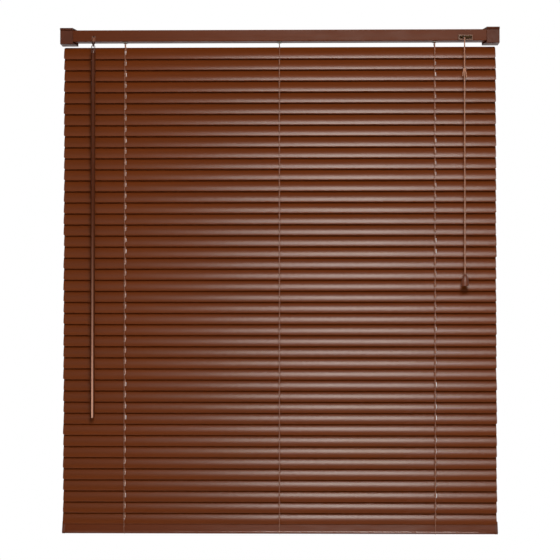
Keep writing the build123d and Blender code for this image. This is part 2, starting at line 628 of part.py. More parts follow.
def make_lift_cord(station, lane, lock_slot):
    """A lift cord up through the slats, under the drum and along the headrail into the lock."""
    x = lift_x(station)
    lane_y = RAIL_INNER_HALF - LANE_GAP - LIFT_CORD_RADIUS - lane * LANE_STEP
    lane_z = RAIL_FLOOR + LANE_RISE
    lock_x = LOCK_X + LOCK_CORD_OFFSET + lock_slot * LOCK_CORD_SPACING / 2
    exit_y = -RAIL_HALF_DEPTH - LOCK_NOSE_REACH / 2
    lock_z = lock_cord_z()
    _, rail_top_z = tilted(BOTTOM_RAIL_WIDTH / 2, BOTTOM_RAIL_THICKNESS / 2)
    foot_z = BOTTOM_RAIL_Z + rail_top_z + CORD_GAP
    points = [(x, 0, foot_z), (x, 0, lane_z), (x, lane_y, lane_z), (lock_x, lane_y, lock_z),
              (lock_x, exit_y, lock_z)]
    return tube(points, [LIFT_BEND] * 3, LIFT_CORD_RADIUS)


def make_pull_cord():
    """The pull cord from the lock's nose, over its lip and straight down into the tassel."""
    x, y, top, bottom = pull_cord_line()
    start_y = -RAIL_HALF_DEPTH - LOCK_NOSE_REACH / 2
    return tube([(x, start_y, top), (x, y, top), (x, y, bottom)], [PULL_CORD_BEND], PULL_CORD_RADIUS)


def pull_cord_line():
    """(x, y, top, bottom) of the hanging pull cord."""
    y = -RAIL_HALF_DEPTH - LOCK_NOSE_REACH - PULL_CORD_STANDOFF
    top = lock_cord_z()
    return LOCK_X + LOCK_CORD_OFFSET, y, top, top - PULL_CORD_DROP


def make_tassel():
    """The bell on the end of the pull cord, open below, with a hole for the cord."""
    x, y, _, cord_end = pull_cord_line()
    top = cord_end + TASSEL_CORD_DEPTH
    hole, wall = PULL_CORD_RADIUS + TASSEL_CLEARANCE, TASSEL_WALL
    neck, rim, height = TASSEL_NECK_RADIUS, TASSEL_RADIUS, TASSEL_HEIGHT
    shoulder = (TASSEL_SHOULDER_RADIUS, -TASSEL_SHOULDER_DROP)
    waist = (TASSEL_WAIST_RADIUS, -TASSEL_WAIST_DROP)
    outside = Spline((neck, 0), shoulder, waist, (rim, -height))
    inside = Spline((rim - wall, -height), (waist[0] - wall, waist[1]), (shoulder[0] - wall, shoulder[1] - wall),
                    (hole, -2 * wall))
    profile = Curve() + [Line((hole, 0), (neck, 0)), outside, Line((rim, -height), (rim - wall, -height)),
                         inside, Line((hole, -2 * wall), (hole, 0))]
    return Pos(x, y, top) * revolve(Plane.XZ * make_face(profile), axis=Axis.Z)


def build():
    """Every node by name, each a list of separate solids."""
    door_left, door_right = mirror_pair(make_door())
    left_cord, right_cord = LIFT_STATIONS
    nodes = {
        "headrail": [make_headrail()],
        "end_brackets": list(mirror_pair(make_bracket())),
        "bracket_door_left": [door_left],
        "bracket_door_right": [door_right],
        "tilt_rod": [make_tilt_rod()],
        "ladder_drums": [make_drum(station) for station in STATIONS],
        "drum_cradles": [make_cradle(station) for station in STATIONS],
        "tilter_housing": [make_tilter_housing()],
        "tilter_gear": [make_tilter_gear()],
        "tilter_worm": [make_tilter_worm()],
        "wand": [make_wand()],
        "cord_lock_case": [make_cord_lock_case()],
        "cord_lock_roller": [make_roller()],
        "ladders_and_lift_cords": [make_ladder(station) for station in STATIONS]
        + [make_lift_cord(left_cord, 0, 1), make_lift_cord(right_cord, 1, -1)],
        "pull_cord": [make_pull_cord()],
        "tassel": [make_tassel()],
        "bottom_rail": [make_bottom_rail()],
    }
    slat = make_slat()
    for index in range(SLAT_COUNT):
        place = Pos(0, 0, slat_z(index)) * Rot(CLOSED_TILT, 0, 0)
        nodes[f"slat_{index + 1:02d}"] = [place * slat]
    return nodes


def main():
    """Write one STEP file for each node."""
    os.makedirs("parts", exist_ok=True)
    for name, pieces in build().items():
        solids = [solid for piece in pieces for solid in piece.solids()]
        shape = solids[0] if len(solids) == 1 else Compound(children=solids)
        shape.label = name
        export_step(shape, os.path.join("parts", f"{name}.step"))


main()
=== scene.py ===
import json
import random
from math import asin, cos, pi, radians, sin, sqrt

import bmesh
import bpy
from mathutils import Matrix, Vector


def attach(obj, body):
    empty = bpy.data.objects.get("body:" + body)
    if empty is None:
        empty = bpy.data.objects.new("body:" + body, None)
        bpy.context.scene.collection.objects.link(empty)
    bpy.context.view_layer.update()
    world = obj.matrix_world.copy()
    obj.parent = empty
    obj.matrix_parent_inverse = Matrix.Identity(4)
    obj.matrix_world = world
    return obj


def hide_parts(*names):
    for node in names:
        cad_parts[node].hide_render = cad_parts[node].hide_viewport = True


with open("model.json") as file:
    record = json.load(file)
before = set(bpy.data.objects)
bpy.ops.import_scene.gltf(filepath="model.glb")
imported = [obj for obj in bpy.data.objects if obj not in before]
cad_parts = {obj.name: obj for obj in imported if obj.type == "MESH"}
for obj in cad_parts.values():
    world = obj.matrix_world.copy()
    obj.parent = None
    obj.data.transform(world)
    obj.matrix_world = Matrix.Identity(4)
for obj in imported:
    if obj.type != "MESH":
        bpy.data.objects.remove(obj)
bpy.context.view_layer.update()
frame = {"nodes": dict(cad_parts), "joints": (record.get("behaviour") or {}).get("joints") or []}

MM = 0.001
chance = random.Random(7)

# Sizes of the blind in millimetres, as in the part
SLAT_COUNT = 43
SLAT_LENGTH = 840.0
SLAT_WIDTH = 25.0
SLAT_THICKNESS = 0.5
SLAT_CROWN = 1.9
SLAT_CORNER = 3.0
SLOT_LENGTH = 9.0
SLOT_WIDTH = 2.6
CLOSED_TILT = 70.0
STATIONS = (-301.0, 0.0, 301.0)
STATION_NAMES = ("left", "middle", "right")
ROD_Z = -15.0
DRUM_REACH = 7.0
STRING_Y = 6.47
STRING_RADIUS = 0.45
STRAND_RADIUS = 0.3
RAIL_TILT_Z = -968.8
RAIL_WIDTH = 24.0
RAIL_THICKNESS = 7.0
RAIL_LENGTH = 840.0
LIFT_X = (-299.7, 302.3)
LIFT_RADIUS = 0.6
PULL_X = 357.6
PULL_Y = -21.1
PULL_RADIUS = 1.2
PULL_TOP = -20.6
PULL_EXIT_Y = -15.5
PULL_END = -484.6
WAND_X = -361.0
WAND_Y = -18.42
STEM_SLANT = 25.0
STEM_START = Vector((WAND_X, -7.43, -11.53))

# Camera, from the photograph's angle
VIEW_CENTRE = Vector((0.001, 0.0, -0.4896))
VIEW_DISTANCE = 3.0
VIEW_YAW = 1.0
VIEW_PITCH = 1.1
VIEW_WIDTH = 1.0875
VIEW_FAR = 100.0
SENSOR = 36.0

# Floor and surrounding light
FLOOR_HALF = 25.0
FLOOR_LEVEL = -1.62
FLOOR_COLOUR = (0.8, 0.8, 0.8, 1)
FLOOR_ROUGHNESS = 0.9
WHITE = (1, 1, 1, 1)
AMBIENT_COLOUR = (1, 0.985, 0.97, 1)
AMBIENT = 0.21
DIM_FRONT = 0.1


def srgb(red, green, blue):
    """A colour written as 0 to 255, in linear light."""
    shares = [value / 255 for value in (red, green, blue)]
    return tuple(s / 12.92 if s <= 0.04045 else ((s + 0.055) / 1.055) ** 2.4 for s in shares) + (1.0,)


def shade(colour, factor):
    """The same colour, lighter or darker."""
    return tuple(value * factor for value in colour[:3]) + (1.0,)


def joint_places():
    """Where each hinge's axis passes, by the body that it moves."""
    hinges = [joint for joint in frame["joints"] if joint["type"] == "hinge"]
    return {joint["child"]: Vector(joint["pos_m"]) for joint in hinges}


# Shader helpers
TEXTURE_LOW = 0.3
TEXTURE_HIGH = 0.7


def new_material(name, roughness, specular=0.5, metallic=0.0):
    material = bpy.data.materials.new(name)
    material.use_nodes = True
    tree = material.node_tree
    shader = tree.nodes["Principled BSDF"]
    shader.inputs["Roughness"].default_value = roughness
    shader.inputs["Specular IOR Level"].default_value = specular
    shader.inputs["Metallic"].default_value = metallic
    return material, tree, shader


def noise(tree, scale, stretch=(1, 1, 1), detail=3.0):
    """Noise in the object's own coordinates, scale in cells per metre."""
    place = tree.nodes.new("ShaderNodeTexCoord")
    mapping = tree.nodes.new("ShaderNodeMapping")
    mapping.inputs["Scale"].default_value = stretch
    texture = tree.nodes.new("ShaderNodeTexNoise")
    texture.inputs["Scale"].default_value = scale
    texture.inputs["Detail"].default_value = detail
    tree.links.new(place.outputs["Object"], mapping.inputs["Vector"])
    tree.links.new(mapping.outputs["Vector"], texture.inputs["Vector"])
    return texture.outputs["Fac"]


def twist(tree, scale):
    """Slanting bands, as on twisted or braided yarn."""
    place = tree.nodes.new("ShaderNodeTexCoord")
    texture = tree.nodes.new("ShaderNodeTexWave")
    texture.bands_direction = "DIAGONAL"
    texture.inputs["Scale"].default_value = scale
    texture.inputs["Distortion"].default_value = 1.5
    tree.links.new(place.outputs["Object"], texture.inputs["Vector"])
    return texture.outputs["Fac"]


def join(tree, operation, first, second):
    """One number made from two."""
    node = tree.nodes.new("ShaderNodeMath")
    node.operation = operation
    tree.links.new(first, node.inputs[0])
    tree.links.new(second, node.inputs[1])
    return node.outputs[0]


def change(tree, operation, value, fixed=0.0):
    """One number made from another and a fixed one."""
    node = tree.nodes.new("ShaderNodeMath")
    node.operation = operation
    node.inputs[1].default_value = fixed
    tree.links.new(value, node.inputs[0])
    return node.outputs[0]


def rise(tree, value, start, end, low=0.0, high=1.0):
    """A number that goes from low to high as another goes from start to end."""
    node = tree.nodes.new("ShaderNodeMapRange")
    node.inputs["From Min"].default_value = start
    node.inputs["From Max"].default_value = end
    node.inputs["To Min"].default_value = low
    node.inputs["To Max"].default_value = high
    tree.links.new(value, node.inputs["Value"])
    return node.outputs["Result"]


def ramp(tree, factor, low, high, start=TEXTURE_LOW, end=TEXTURE_HIGH):
    """Colour between two others by a texture."""
    node = tree.nodes.new("ShaderNodeValToRGB")
    node.color_ramp.elements[0].position = start
    node.color_ramp.elements[0].color = low
    node.color_ramp.elements[1].position = end
    node.color_ramp.elements[1].color = high
    tree.links.new(factor, node.inputs["Fac"])
    return node.outputs["Color"]


def between(tree, factor, low, high):
    """A number between two others by a texture."""
    return rise(tree, factor, TEXTURE_LOW, TEXTURE_HIGH, low, high)


def tint(tree, shader, colour):
    tree.links.new(colour, shader.inputs["Base Color"])


def gloss(tree, shader, roughness):
    tree.links.new(roughness, shader.inputs["Roughness"])


def bump(tree, shader, height, depth_mm, strength, before=None):
    node = tree.nodes.new("ShaderNodeBump")
    node.inputs["Distance"].default_value = depth_mm * MM
    node.inputs["Strength"].default_value = strength
    tree.links.new(height, node.inputs["Height"])
    if before is not None:
        tree.links.new(before, node.inputs["Normal"])
    tree.links.new(node.outputs["Normal"], shader.inputs["Normal"])
    return node.outputs["Normal"]


def blend(tree, factor, first, second):
    """One shader fading into another."""
    mix = tree.nodes.new("ShaderNodeMixShader")
    tree.links.new(factor, mix.inputs["Fac"])
    tree.links.new(first, mix.inputs[1])
    tree.links.new(second, mix.inputs[2])
    return mix.outputs[0]


# Materials
def moulded(name, colour, roughness, specular, spread=0.12):
    """Moulded plastic: faint flow marks in its colour, an uneven gloss and a fine grain."""
    material, tree, shader = new_material(name, roughness, specular)
    flow = noise(tree, 40, detail=4)
    tint(tree, shader, ramp(tree, flow, shade(colour, 1 - spread), shade(colour, 1 + spread)))
    gloss(tree, shader, between(tree, noise(tree, 120), roughness - 0.05, roughness + 0.07))
    bump(tree, shader, noise(tree, 900, detail=2), 0.02, 0.5)
    return material


def make_slat_material():
    """Brown lacquered slat: long faint streaks, each slat a shade apart, a soft uneven gloss."""
    colour = srgb(95, 44, 13)
    material, tree, shader = new_material("slat_lacquer", 0.25, 0.22)
    streaks = noise(tree, 30, (0.12, 5, 5), 5)
    info = tree.nodes.new("ShaderNodeObjectInfo")
    apart = tree.nodes.new("ShaderNodeHueSaturation")
    tree.links.new(between(tree, info.outputs["Random"], 0.97, 1.03), apart.inputs["Value"])
    tree.links.new(ramp(tree, streaks, shade(colour, 0.92), shade(colour, 1.08)), apart.inputs["Color"])
    tint(tree, shader, apart.outputs["Color"])
    gloss(tree, shader, between(tree, noise(tree, 25, (0.2, 2, 2)), 0.23, 0.28))
    waves = bump(tree, shader, noise(tree, 6, (1, 3, 3), 2), 0.09, 0.22)
    bump(tree, shader, noise(tree, 1500, (0.3, 1, 1), 2), 0.01, 0.25, waves)
    return material


def make_paint_material(name, colour, roughness, specular, peel=0.015):
    """Paint or lacquer on a long profile: a fine orange peel and faint lines along it."""
    material, tree, shader = new_material(name, roughness, specular)
    lines = noise(tree, 60, (0.05, 4, 4), 4)
    tint(tree, shader, ramp(tree, lines, shade(colour, 0.93), shade(colour, 1.07)))
    gloss(tree, shader, between(tree, noise(tree, 80, (0.3, 1, 1)), roughness - 0.04, roughness + 0.06))
    bump(tree, shader, noise(tree, 700, detail=2), peel, 0.5)
    return material


def make_metal_material(name, colour, roughness, stretch, metallic):
    """Bare metal: drawn or turned lines in its gloss and a few dull spots."""
    material, tree, shader = new_material(name, roughness, 0.5, metallic)
    lines = noise(tree, 400, stretch, 4)
    tint(tree, shader, ramp(tree, lines, shade(colour, 0.85), shade(colour, 1.1)))
    gloss(tree, shader, between(tree, noise(tree, 90), roughness - 0.06, roughness + 0.12))
    bump(tree, shader, lines, 0.01, 0.4)
    return material


def make_yarn_material(name, low, high, scale):
    """Braided yarn: slanting strands, dull, with a faint sheen of loose fibre."""
    material, tree, shader = new_material(name, 0.78, 0.2)
    shader.inputs["Sheen Weight"].default_value = 0.25
    shader.inputs["Sheen Roughness"].default_value = 0.5
    strands = twist(tree, scale)
    fuzz = noise(tree, 2500, detail=2)
    tint(tree, shader, ramp(tree, strands, low, high, 0.15, 0.75))
    gloss(tree, shader, between(tree, fuzz, 0.7, 0.86))
    first = bump(tree, shader, strands, 0.12, 0.7)
    bump(tree, shader, fuzz, 0.04, 0.5, first)
    return material


# Painted highlight on the wand: how many faces carry it, and the heights in metres where it starts and
# where it is full
PAINTED_HIGHLIGHT_FACES = 3
PAINTED_HIGHLIGHT_TOP = -0.3
PAINTED_HIGHLIGHT_FOOT = -0.71


def make_wand_material():
    """Wand: glossy extruded plastic with draw lines, and a painted highlight on every second face that
    grows towards the lower end.
    """
    material, tree, shader = new_material("wand_gloss", 0.24, 0.3)
    place = tree.nodes.new("ShaderNodeTexCoord")
    centred = tree.nodes.new("ShaderNodeMapping")
    centred.inputs["Location"].default_value = (-WAND_X * MM, -WAND_Y * MM, 0)
    tree.links.new(place.outputs["Object"], centred.inputs["Vector"])
    split = tree.nodes.new("ShaderNodeSeparateXYZ")
    tree.links.new(centred.outputs["Vector"], split.inputs[0])
    turn = join(tree, "ARCTAN2", split.outputs["Y"], split.outputs["X"])
    wave = change(tree, "SINE", change(tree, "MULTIPLY", turn, PAINTED_HIGHLIGHT_FACES))
    across = rise(tree, wave, 0.0, 0.6)
    along = rise(tree, split.outputs["Z"], PAINTED_HIGHLIGHT_TOP, PAINTED_HIGHLIGHT_FOOT)
    # Painted highlight: a pale stripe in the base colour down every second face, fading in towards the
    # lower end
    streak = join(tree, "MULTIPLY", across, join(tree, "MULTIPLY", along, along))
    tint(tree, shader, ramp(tree, streak, srgb(72, 33, 13), srgb(188, 142, 120), 0, 1))
    lines = noise(tree, 300, (1, 1, 0.02))
    gloss(tree, shader, between(tree, lines, 0.2, 0.3))
    bump(tree, shader, lines, 0.02, 0.4)
    return material


slat_lacquer = make_slat_material()
headrail_paint = make_paint_material("headrail_enamel", srgb(86, 39, 14), 0.38, 0.08)
rail_finish = make_paint_material("bottom_rail_lacquer", srgb(88, 39, 13), 0.34, 0.07)
bead_finish = make_paint_material("bottom_rail_edge", srgb(96, 50, 28), 0.16, 0.6, 0.002)
bracket_finish = moulded("bracket_plastic", srgb(78, 39, 23), 0.42, 0.12)
tilter_finish = moulded("tilter_plastic", srgb(124, 78, 56), 0.4, 0.45)
stem_finish = moulded("stem_plastic", srgb(58, 34, 27), 0.3, 0.5)
cradle_finish = moulded("cradle_plastic", srgb(128, 126, 116), 0.5, 0.4)
drum_finish = moulded("drum_plastic", srgb(205, 203, 196), 0.45, 0.4)
lock_finish = moulded("lock_enamel", srgb(112, 74, 50), 0.38, 0.45)
tassel_finish = moulded("tassel_plastic", srgb(98, 52, 32), 0.35, 0.45, 0.15)
cap_finish = moulded("end_cap_plastic", srgb(86, 44, 26), 0.4, 0.12)
rod_finish = make_metal_material("rod_zinc", srgb(190, 192, 195), 0.34, (0.05, 1, 1), 1.0)
roller_finish = make_metal_material("roller_brass", srgb(226, 196, 140), 0.3, (0.1, 1, 1), 0.5)
ladder_yarn = make_yarn_material("ladder_yarn", srgb(104, 64, 45), srgb(156, 110, 88), 700)
lift_yarn = make_yarn_material("lift_yarn", srgb(148, 100, 75), srgb(204, 154, 125), 900)
pull_yarn = make_yarn_material("pull_yarn", srgb(118, 76, 56), srgb(178, 132, 108), 420)
wand_finish = make_wand_material()

# Each node's material and how far its sharp edges are softened, in millimetres
NODE_FINISHES = {
    "headrail": (headrail_paint, 0),
    "end_brackets": (bracket_finish, 0.25),
    "bracket_door_left": (bracket_finish, 0.25),
    "bracket_door_right": (bracket_finish, 0.25),
    "tilt_rod": (rod_finish, 0),
    "ladder_drums": (drum_finish, 0.15),
    "drum_cradles": (cradle_finish, 0.15),
    "tilter_housing": (tilter_finish, 0.2),
    "tilter_gear": (drum_finish, 0),
    "tilter_worm": (stem_finish, 0),
    "wand": (wand_finish, 0),
    "cord_lock_case": (lock_finish, 0.2),
    "cord_lock_roller": (roller_finish, 0),
    "tassel": (tassel_finish, 0),
    "bottom_rail": (rail_finish, 0),
}


# Helpers for pieces
EDGE_ANGLE = 35
WELD_REACH = 0.01


def link_object(name, data, material, body):
    """A new piece of the scene that moves with a body."""
    obj = bpy.data.objects.new(name, data)
    bpy.context.scene.collection.objects.link(obj)
    if material is not None:
        data.materials.append(material)
    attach(obj, body)
    return obj


def hang(obj, place, turn, shift=0.0):
    """Puts a piece that is modelled level at its tilt axis, turned and shifted along it."""
    obj.location = (shift, place.y, place.z)
    obj.rotation_euler = (turn, 0, 0)


def finish_mesh(name, bm):
    """A smooth mesh from the faces so far."""
    bmesh.ops.recalc_face_normals(bm, faces=bm.faces)
    mesh = bpy.data.meshes.new(name)
    bm.to_mesh(mesh)
    bm.free()
    mesh.polygons.foreach_set("use_smooth", [True] * len(mesh.polygons))
    return mesh


def soften(obj, width_mm, angle=EDGE_ANGLE, harden=True):
    """Rounds the edges that are sharper than the angle."""
    rounding = obj.modifiers.new("edges", "BEVEL")
    rounding.width = width_mm * MM
    rounding.segments = 2
    rounding.limit_method = "ANGLE"
    rounding.angle_limit = radians(angle)
    rounding.harden_normals = harden


def finish_node(name, material, edge_mm):
    """Gives a node of the model its material, and softens its sharp edges."""
    obj = frame["nodes"][name]
    if len(obj.material_slots) == 0:
        obj.data.materials.append(material)
    for place in obj.material_slots:
        place.material = material
    if edge_mm > 0:
        weld = obj.modifiers.new("join", "WELD")
        weld.merge_threshold = WELD_REACH * MM
        soften(obj, edge_mm)


def circle(count):
    """Cosines and sines of turns that are evenly spaced."""
    return [(cos(step / count * 2 * pi), sin(step / count * 2 * pi)) for step in range(count)]


def rounded_outline(width, height, radius, steps=6):
    """Corners of a rectangle with rounded corners, going round."""
    points = []
    for sx, sy, start in ((1, 1, 0), (-1, 1, 90), (-1, -1, 180), (1, -1, 270)):
        for step in range(steps + 1):
            turn = radians(start + 90 * step / steps)
            points.append((sx * (width / 2 - radius) + radius * cos(turn),
                           sy * (height / 2 - radius) + radius * sin(turn)))
    return points


def loft(name, rings):
    """A closed skin over rings of points, in millimetres, that have the same count."""
    bm = bmesh.new()
    rows = [[bm.verts.new(Vector(point) * MM) for point in ring] for ring in rings]
    count = len(rows[0])
    for lower, upper in zip(rows, rows[1:]):
        for i in range(count):
            bm.faces.new((lower[i], lower[(i + 1) % count], upper[(i + 1) % count], upper[i]))
    bm.faces.new(rows[0][::-1])
    bm.faces.new(rows[-1])
    return finish_mesh(name, bm)


def new_curve(name, radius_mm, resolution=3):
    curve = bpy.data.curves.new(name, "CURVE")
    curve.dimensions = "3D"
    curve.bevel_depth = radius_mm * MM
    curve.bevel_resolution = resolution
    curve.use_fill_caps = True
    return curve


def add_spline(curve, points, radius=1.0):
    """A smooth spline with the points, in millimetres, as its control points."""
    spline = curve.splines.new("NURBS")
    spline.points.add(len(points) - 1)
    for point, place in zip(spline.points, points):
        point.co = (place[0] * MM, place[1] * MM, place[2] * MM, 1)
        point.radius = radius
    spline.order_u = 3
    spline.use_endpoint_u = True
    spline.resolution_u = 6


# Slats
ARC_RADIUS = ((SLAT_WIDTH / 2) ** 2 + SLAT_CROWN ** 2) / (2 * SLAT_CROWN)
ARC_HALF = asin(SLAT_WIDTH / 2 / ARC_RADIUS)
ARC_PIVOT = ARC_RADIUS * sin(ARC_HALF) / ARC_HALF
HALF_SPREAD = ARC_RADIUS * ARC_HALF
SLOT_SHARE = SLOT_LENGTH / 2 / HALF_SPREAD
ROW_SHARES = (-1, -0.86, -0.7, -0.52, -SLOT_SHARE, -0.18, 0, 0.18, SLOT_SHARE, 0.52, 0.7, 0.86, 1)
SLAT_STEPS = 24
CORNER_STEPS = 6
SLOT_STEPS = 8
SLOT_ROOM = 8
SLOT_MARGINS = (-6, -3.2, 3.2, 6)
SLAT_EDGE = 0.12
SLAT_EDGE_ANGLE = 50
SLAT_LEAN = 0.5
SLAT_SHIFT = 0.6


def slat_columns():
    """Places along the slat, each with its half width and, in a slot, half the slot's length."""
    columns = {}
    straight = SLAT_LENGTH / 2 - SLAT_CORNER
    for step in range(SLAT_STEPS + 1):
        columns[-straight + 2 * straight * step / SLAT_STEPS] = (HALF_SPREAD, None)
    for step in range(1, CORNER_STEPS + 1):
        turn = step / CORNER_STEPS * pi / 2
        width = HALF_SPREAD - SLAT_CORNER + SLAT_CORNER * cos(turn)
        for side in (-1, 1):
            columns[side * (straight + SLAT_CORNER * sin(turn))] = (width, None)
    radius = SLOT_WIDTH / 2
    for centre in LIFT_X:
        for near in [x for x in columns if abs(x - centre) < SLOT_ROOM]:
            del columns[near]
        for step in range(SLOT_STEPS + 1):
            offset = -radius * cos(step * pi / SLOT_STEPS)
            reach = SLOT_LENGTH / 2 - radius + sqrt(max(0, radius ** 2 - offset ** 2))
            columns[centre + offset] = (HALF_SPREAD, reach)
        for offset in SLOT_MARGINS:
            columns[centre + offset] = (HALF_SPREAD, None)
    return sorted((x, width, reach) for x, (width, reach) in columns.items())


def on_arc(x, spread):
    """A point of the slat, spread along its crowned width."""
    turn = spread / ARC_RADIUS
    return Vector((x, ARC_RADIUS * sin(turn), ARC_RADIUS * cos(turn) - ARC_PIVOT)) * MM


def make_slat_mesh():
    """The middle sheet of a slat, with its two slots."""
    columns = slat_columns()
    bm = bmesh.new()
    grid = []
    for x, width, reach in columns:
        line = []
        for share in ROW_SHARES:
            spread = share * width
            if reach is not None and abs(share) == SLOT_SHARE:
                spread = reach if share > 0 else -reach
            line.append(bm.verts.new(on_arc(x, spread)))
        grid.append(line)
    first, last = ROW_SHARES.index(-SLOT_SHARE), ROW_SHARES.index(SLOT_SHARE)
    for i in range(len(columns) - 1):
        slot_here = columns[i][2] is not None and columns[i + 1][2] is not None
        for k in range(len(ROW_SHARES) - 1):
            if slot_here and first <= k < last:
                continue
            bm.faces.new((grid[i][k], grid[i + 1][k], grid[i + 1][k + 1], grid[i][k + 1]))
    loose = [vert for vert in bm.verts if not vert.link_faces]
    bmesh.ops.delete(bm, geom=loose, context="VERTS")
    return finish_mesh("slat", bm)


# Rungs, two strands for each ladder under each slat, beside the lift cord where there is one
RUNG_SLANTS = (0.0, 0.25, -0.2, 0.4)
RUNG_SPLAY = 0.95
RUNG_SIDESTEP = 1.3
RUNG_EDGE = 11.5
RUNG_DROP = 2.12
RUNG_CROWN = 1.1
RUNG_REACH = 19.5
RUNG_TURN = 4
RUNG_TURN_DROP = 1.5
RUNG_END = 0.5
RUNG_END_SPLAY = 0.55
RUNG_END_SHIFT = 0.4
RUNG_DRIFT = 0.2


def make_rungs(name, slant):
    curve = new_curve(name, STRAND_RADIUS, 2)
    for station in STATIONS:
        shift = RUNG_SIDESTEP if station else 0.0
        for side in (-1, 1):
            end = station + side * RUNG_END_SPLAY - RUNG_END_SHIFT
            x = station + shift + side * RUNG_SPLAY
            lean = slant * side
            add_spline(curve, [
                (end + lean, -RUNG_REACH, -RUNG_END),
                (end + RUNG_DRIFT + lean, -RUNG_REACH + RUNG_TURN, -RUNG_TURN_DROP),
                (x, -RUNG_EDGE, -RUNG_DROP),
                (x, 0, -RUNG_DROP + RUNG_CROWN),
                (x, RUNG_EDGE, -RUNG_DROP),
                (end + RUNG_DRIFT - lean, RUNG_REACH - RUNG_TURN, -RUNG_TURN_DROP),
                (end - lean, RUNG_REACH, -RUNG_END),
            ])
    return curve


places = joint_places()
tilt = radians(CLOSED_TILT)
slat_mesh = make_slat_mesh()
slat_mesh.materials.append(slat_lacquer)
rung_curves = [make_rungs(f"rungs_{kind}", slant) for kind, slant in enumerate(RUNG_SLANTS)]

for index in range(1, SLAT_COUNT + 1):
    body = f"slat_{index:02d}"
    slat = link_object(f"slat_leaf_{index:02d}", slat_mesh, None, body)
    lean = tilt + radians(chance.uniform(-SLAT_LEAN, SLAT_LEAN))
    hang(slat, places[body], lean, chance.uniform(-SLAT_SHIFT, SLAT_SHIFT) * MM)
    thick = slat.modifiers.new("thickness", "SOLIDIFY")
    thick.thickness = SLAT_THICKNESS * MM
    thick.offset = 0
    soften(slat, SLAT_EDGE, SLAT_EDGE_ANGLE, harden=False)
    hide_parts(body)
    curve = chance.choice(rung_curves).copy()
    rungs = link_object(f"rungs_{index:02d}", curve, ladder_yarn, body)
    hang(rungs, places[body], tilt)

# Ladders: a string before and behind the slats, over the drum, with the rungs' ends braided into it
FRONT_END = -974.2
REAR_END = -957.6
STRING_STRAIGHT_Z = -36.05
STRING_WAVE = 0.25
STRING_DRAW = 0.25
DRUM_TURN = 2.9
BRAID_START = -17.0
BRAID_END = -25.5
BRAID_LEAD = 4
BRAID_TAPER = 3
BRAID_SPLAY = 0.62
BRAID_PROUD = 0.15
BRAID_TOP_DRIFT = 0.25
BRAID_FOOT_DRIFT = -0.3
BRAID_END_DRIFT = -0.2


def wavy(x):
    return x + chance.uniform(-STRING_WAVE, STRING_WAVE)


def string_side(station, y, end):
    """A string's points from its lower end up to the headrail, drawn a little sideways at each rung."""
    points = [(station, y, end)]
    for index in range(SLAT_COUNT, 0, -1):
        middle = places[f"slat_{index:02d}"].z / MM
        points.append((wavy(station - STRING_DRAW), y, middle + BRAID_END))
        points.append((wavy(station + STRING_DRAW), y, middle + BRAID_START + BRAID_LEAD))
    points.append((station, y, STRING_STRAIGHT_Z))
    return points


def make_ladder(name, station):
    curve = new_curve(name, STRING_RADIUS, 2)
    front = string_side(station, -STRING_Y, FRONT_END)
    rear = string_side(station, STRING_Y, REAR_END)
    over = [(station, -DRUM_REACH, ROD_Z), (station, -DRUM_REACH, ROD_Z + DRUM_TURN),
            (station, -DRUM_TURN, ROD_Z + DRUM_REACH), (station, DRUM_TURN, ROD_Z + DRUM_REACH),
            (station, DRUM_REACH, ROD_Z + DRUM_TURN), (station, DRUM_REACH, ROD_Z)]
    add_spline(curve, front + over + rear[::-1])
    thin = STRAND_RADIUS / STRING_RADIUS
    for index in range(1, SLAT_COUNT + 1):
        middle = places[f"slat_{index:02d}"].z / MM
        if middle + BRAID_END < RAIL_TILT_Z:
            continue
        for y in (-STRING_Y, STRING_Y):
            out = -BRAID_PROUD if y < 0 else BRAID_PROUD
            for side in (-1, 1):
                x = station + side * BRAID_SPLAY
                add_spline(curve, [(x + BRAID_TOP_DRIFT, y + out, middle + BRAID_START),
                                   (x, y + out, middle + BRAID_START - BRAID_TAPER),
                                   (x + BRAID_FOOT_DRIFT, y + out, middle + BRAID_END + BRAID_TAPER),
                                   (station + BRAID_END_DRIFT, y, middle + BRAID_END)], thin)
    return link_object(name, curve, ladder_yarn, "headrail")


ladders = [make_ladder(f"ladder_{name}", station) for name, station in zip(STATION_NAMES, STATIONS)]
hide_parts("ladders_and_lift_cords")

# Lift cords, up through the slats and along the headrail to where the pull cord leaves the lock
LIFT_END = -956.0
LANE_Y = (10.4, 8.4)
LANE_Z = -22.8
LOCK_X = (358.7, 356.5)
CORNER_RADII = 12


def make_lift_cord(name, x, lane_y, lock_x):
    curve = new_curve(name, LIFT_RADIUS)
    turn = lane_y - PULL_EXIT_Y
    add_spline(curve, [
        (x, 0, LIFT_END), (x, 0, LANE_Z - CORNER_RADII * LIFT_RADIUS),
        (x, 0, LANE_Z), (x, lane_y, LANE_Z), (x + lane_y, lane_y, LANE_Z),
        (lock_x - turn, lane_y, PULL_TOP), (lock_x, lane_y, PULL_TOP), (lock_x, PULL_EXIT_Y, PULL_TOP)])
    link_object(name, curve, lift_yarn, "headrail")


for name, x, lane_y, lock_x in zip(("left", "right"), LIFT_X, LANE_Y, LOCK_X):
    make_lift_cord(f"lift_cord_{name}", x, lane_y, lock_x)

# Pull cord
pull_curve = new_curve("pull_cord_line", PULL_RADIUS, 4)
add_spline(pull_curve, [
    (PULL_X, PULL_EXIT_Y, PULL_TOP), (PULL_X, PULL_Y, PULL_TOP),
    (PULL_X, PULL_Y, PULL_TOP - CORNER_RADII * PULL_RADIUS), (PULL_X, PULL_Y, PULL_END)])
pull_line = link_object("pull_cord_line", pull_curve, pull_yarn, "headrail")
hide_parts("pull_cord")

